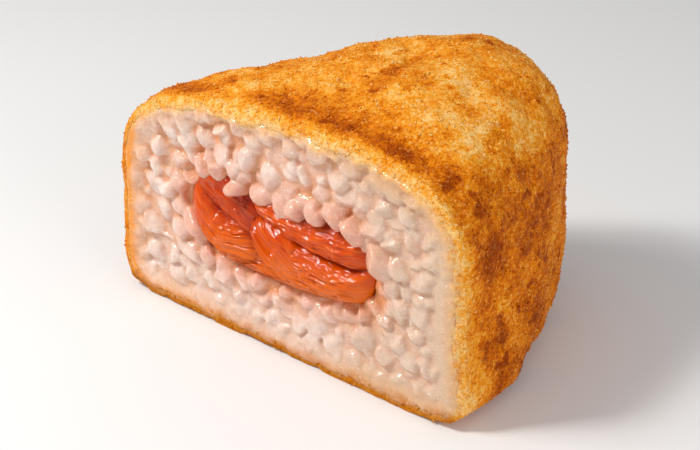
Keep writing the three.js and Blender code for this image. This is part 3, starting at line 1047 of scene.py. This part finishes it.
def crust_colour(paint):
    """The crust's colour, from its browning and the fine mottling of its crumbs."""
    level = paint.value("browning")
    crumb = paint.cells(0.42, "Color")
    fine = paint.noise(0.3, 2.0, 0.6)
    middle = paint.noise(1.5, 3.0, 0.6, offset=3.0)
    for amount, source in ((0.32, crumb), (0.6, fine), (0.5, middle)):
        level = paint.math("ADD", level, paint.math("MULTIPLY", paint.math("SUBTRACT", source, 0.5), amount))
    colour = paint.ramp(level, BROWNING)
    specks = paint.span(paint.noise(0.34, 1.0, 0.5, offset=9.0), 0.58, 0.69)
    share = paint.math("MULTIPLY", specks, paint.span(level, 0.1, 0.8, 0.6, 0.15))
    return paint.mix(paint.value("gilding"), paint.mix(share, colour, CRUMB_PALE), OLD_GOLD)


def crust_bump(paint):
    crumbs = paint.math("MULTIPLY", paint.cells(0.38), -0.7)
    height = paint.math("ADD", crumbs, paint.noise(0.24, 2.0, 0.6, offset=5.0))
    return paint.bump(height, 0.14)


def crust_material(name, roughness, doughy):
    paint = Paint(name)
    colour = crust_colour(paint)
    if doughy:
        colour = paint.mix(paint.value("doughy"), colour, CREAM)
    normal = crust_bump(paint)
    return paint.set(Base_Color=colour, Roughness=roughness, Normal=normal, Specular_IOR_Level=0.05)


def grain_material():
    paint = Paint("rice_grain")
    cloudy = paint.noise(1.5, 3.0, 0.6)
    tone = paint.math("MULTIPLY", paint.value("tone"), 0.55)
    share = paint.math("ADD", tone, paint.span(cloudy, 0.3, 0.7, -0.25, 0.4))
    colour = paint.mix(share, RICE, RICE_WHITE)
    for name, amount, other in (
        # cream: the paste's own colour near the crust, and painted shade over the base side
        ("cream_and_shade", 1, CREAM),
        ("tint", 0.62, STAIN),
        # seam: painted shade and glow between the grains
        ("seam_shade", 0.75, SEAM_SHADE),
        # depth: painted shade and glow in the hollows behind the cut, partly the oily paste's own orange
        ("hollow_shade", 0.75, HOLLOW_SHADE),
        # rim: painted glow of the rice under the crust
        ("rim", 1, RIM_GLOW),
        ("crusted", 1, crust_colour(paint)),
    ):
        colour = paint.mix(paint.math("MULTIPLY", paint.value(name), amount), colour, other)
    # Painted highlights: small near-white specks stand for sparkles on the wet grains.
    painted_sparkle = paint.span(paint.noise(0.26, 1.0, 0.5, offset=8.0), 0.62, 0.74, 0.0, 0.45)
    colour = paint.mix(painted_sparkle, colour, SPARKLE_WHITE)
    dimples = paint.math("MULTIPLY", paint.cells(0.45), -0.35)
    frost = paint.math("ADD", paint.noise(0.5, 1.0, 0.5, offset=4.0), dimples)
    return paint.set(
        Base_Color=colour,
        Roughness=paint.span(paint.noise(0.6, 2.0, 0.5, offset=6.0), 0.3, 0.7, 0.07, 0.22),
        Normal=paint.bump(frost, 0.11),
        Specular_IOR_Level=0.55,
        Subsurface_Weight=0.6,
        Subsurface_Radius=(1.0, 0.8, 0.68),
        Subsurface_Scale=0.9 * MM,
    )


def salmon_material():
    paint = Paint("salmon")
    lie = paint.node("ShaderNodeCombineXYZ")
    paint.feed(lie, {"X": paint.math("MULTIPLY", paint.value("along"), 0.12), "Y": paint.value("across")})
    fibres = paint.noise(0.35, 4.0, 0.65, place=lie.outputs[0])
    broad = paint.noise(1.6, 3.0, 0.5, place=lie.outputs[0], offset=5.0)
    colour = paint.ramp(fibres, ((0.25, FIBRE_DARK), (0.5, FIBRE), (0.75, FIBRE_LIGHT)))
    colour = paint.mix(paint.span(broad, 0.35, 0.7, 0.0, 0.4), colour, FLESH)
    # Painted glow: a lighter orange low on the front, as if light shone through the thin flesh.
    colour = paint.mix(paint.math("MULTIPLY", paint.value("thin_glow"), 0.55), colour, FLESH_GLOW)
    # Painted shade: the creases and the low ground between the folds are darkened towards deep red.
    low = paint.span(paint.value("raised"), 0.1, 0.75, 0.8, 0.0)
    colour = paint.mix(paint.math("MAXIMUM", low, paint.value("crease_shade")), colour, CREASE_SHADE)
    return paint.set(
        Base_Color=colour,
        Roughness=paint.span(broad, 0.3, 0.7, 0.06, 0.16),
        Normal=paint.bump(fibres, 0.1, 0.8),
        Specular_IOR_Level=0.3,
    )


# ---- Stage, lights and camera ----

VIEW_AZIMUTH = math.radians(38.59)
VIEW_ELEVATION = math.radians(29.88)
VIEW_DISTANCE = 212.7
AIM = np.array([4.59, 7.27, 10.88])
LENS = 81.8
FLOOR_REACH = 900
DAYLIGHT = 0.4
LIGHT_AIM = (0, 12, 10)
WARM_WHITE = (1, 0.98, 0.95)


def row_place(point):
    return Vector((np.asarray(point) + PLAN_CENTRE) * MM)


def add_camera():
    back = np.array([
        math.sin(VIEW_AZIMUTH) * math.cos(VIEW_ELEVATION),
        -math.cos(VIEW_AZIMUTH) * math.cos(VIEW_ELEVATION),
        math.sin(VIEW_ELEVATION),
    ])
    camera = bpy.data.objects.new("camera", bpy.data.cameras.new("camera"))
    camera.data.lens = LENS
    camera.data.clip_start = 0.005
    camera.location = row_place(AIM + back * VIEW_DISTANCE)
    camera.rotation_euler = Vector(-back).to_track_quat("-Z", "Y").to_euler()
    scene.collection.objects.link(camera)
    scene.camera = camera


def add_light(name, place, size, power, colour=(1, 1, 1)):
    """A square softbox at a place, size millimetres wide, facing the ball, of power watts."""
    lamp = bpy.data.lights.new(name, "AREA")
    lamp.size, lamp.energy, lamp.color = size * MM, power, colour
    light = bpy.data.objects.new(name, lamp)
    light.location = row_place(place)
    towards = row_place(LIGHT_AIM) - light.location
    light.rotation_euler = towards.to_track_quat("-Z", "Y").to_euler()
    scene.collection.objects.link(light)


def add_stage():
    corners = np.array([(-1, -1, 0), (1, -1, 0), (1, 1, 0), (-1, 1, 0)]) * FLOOR_REACH
    floor = make_piece("floor", corners - PLAN_CENTRE, [(0, 1, 2, 3)])
    floor.data.materials.append(Paint("pale_floor").set(Base_Color=(0.84, 0.84, 0.84, 1), Roughness=0.8))
    world = bpy.data.worlds.new("studio")
    world.use_nodes = True
    background = world.node_tree.nodes["Background"].inputs
    background["Color"].default_value = (1, 1, 1, 1)
    background["Strength"].default_value = DAYLIGHT
    scene.world = world
    scene.view_settings.view_transform = "Standard"


# ---- Putting it together ----

add_camera()
add_stage()
add_light("key", (-135, -125, 245), 90, 0.44, WARM_WHITE)
add_light("glint", (-120, -140, 250), 45, 0.3, WARM_WHITE)
add_light("front", (40, -280, 120), 200, 0.06)
add_light("side", (250, -20, 60), 200, 0.26)

body = rice_core()
crumbs = crumbs_on(body, *dress_core(body))
body.data.materials.append(crust_material("rice_body", 0.6, True))
crumbs.data.materials.append(crust_material("crust_crumbs", 0.45, False))
grains, grain_places = rice_face()
dress_face(grains, grain_places)
grains.data.materials.append(grain_material())
for piece in (body, grains):
    thin_out(piece)
filling = salmon()
filling.data.materials.append(salmon_material())

for piece in (body, crumbs, grains):
    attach(piece, "root")
    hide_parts("rice_ball")
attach(filling, "root")
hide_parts("salmon_filling")
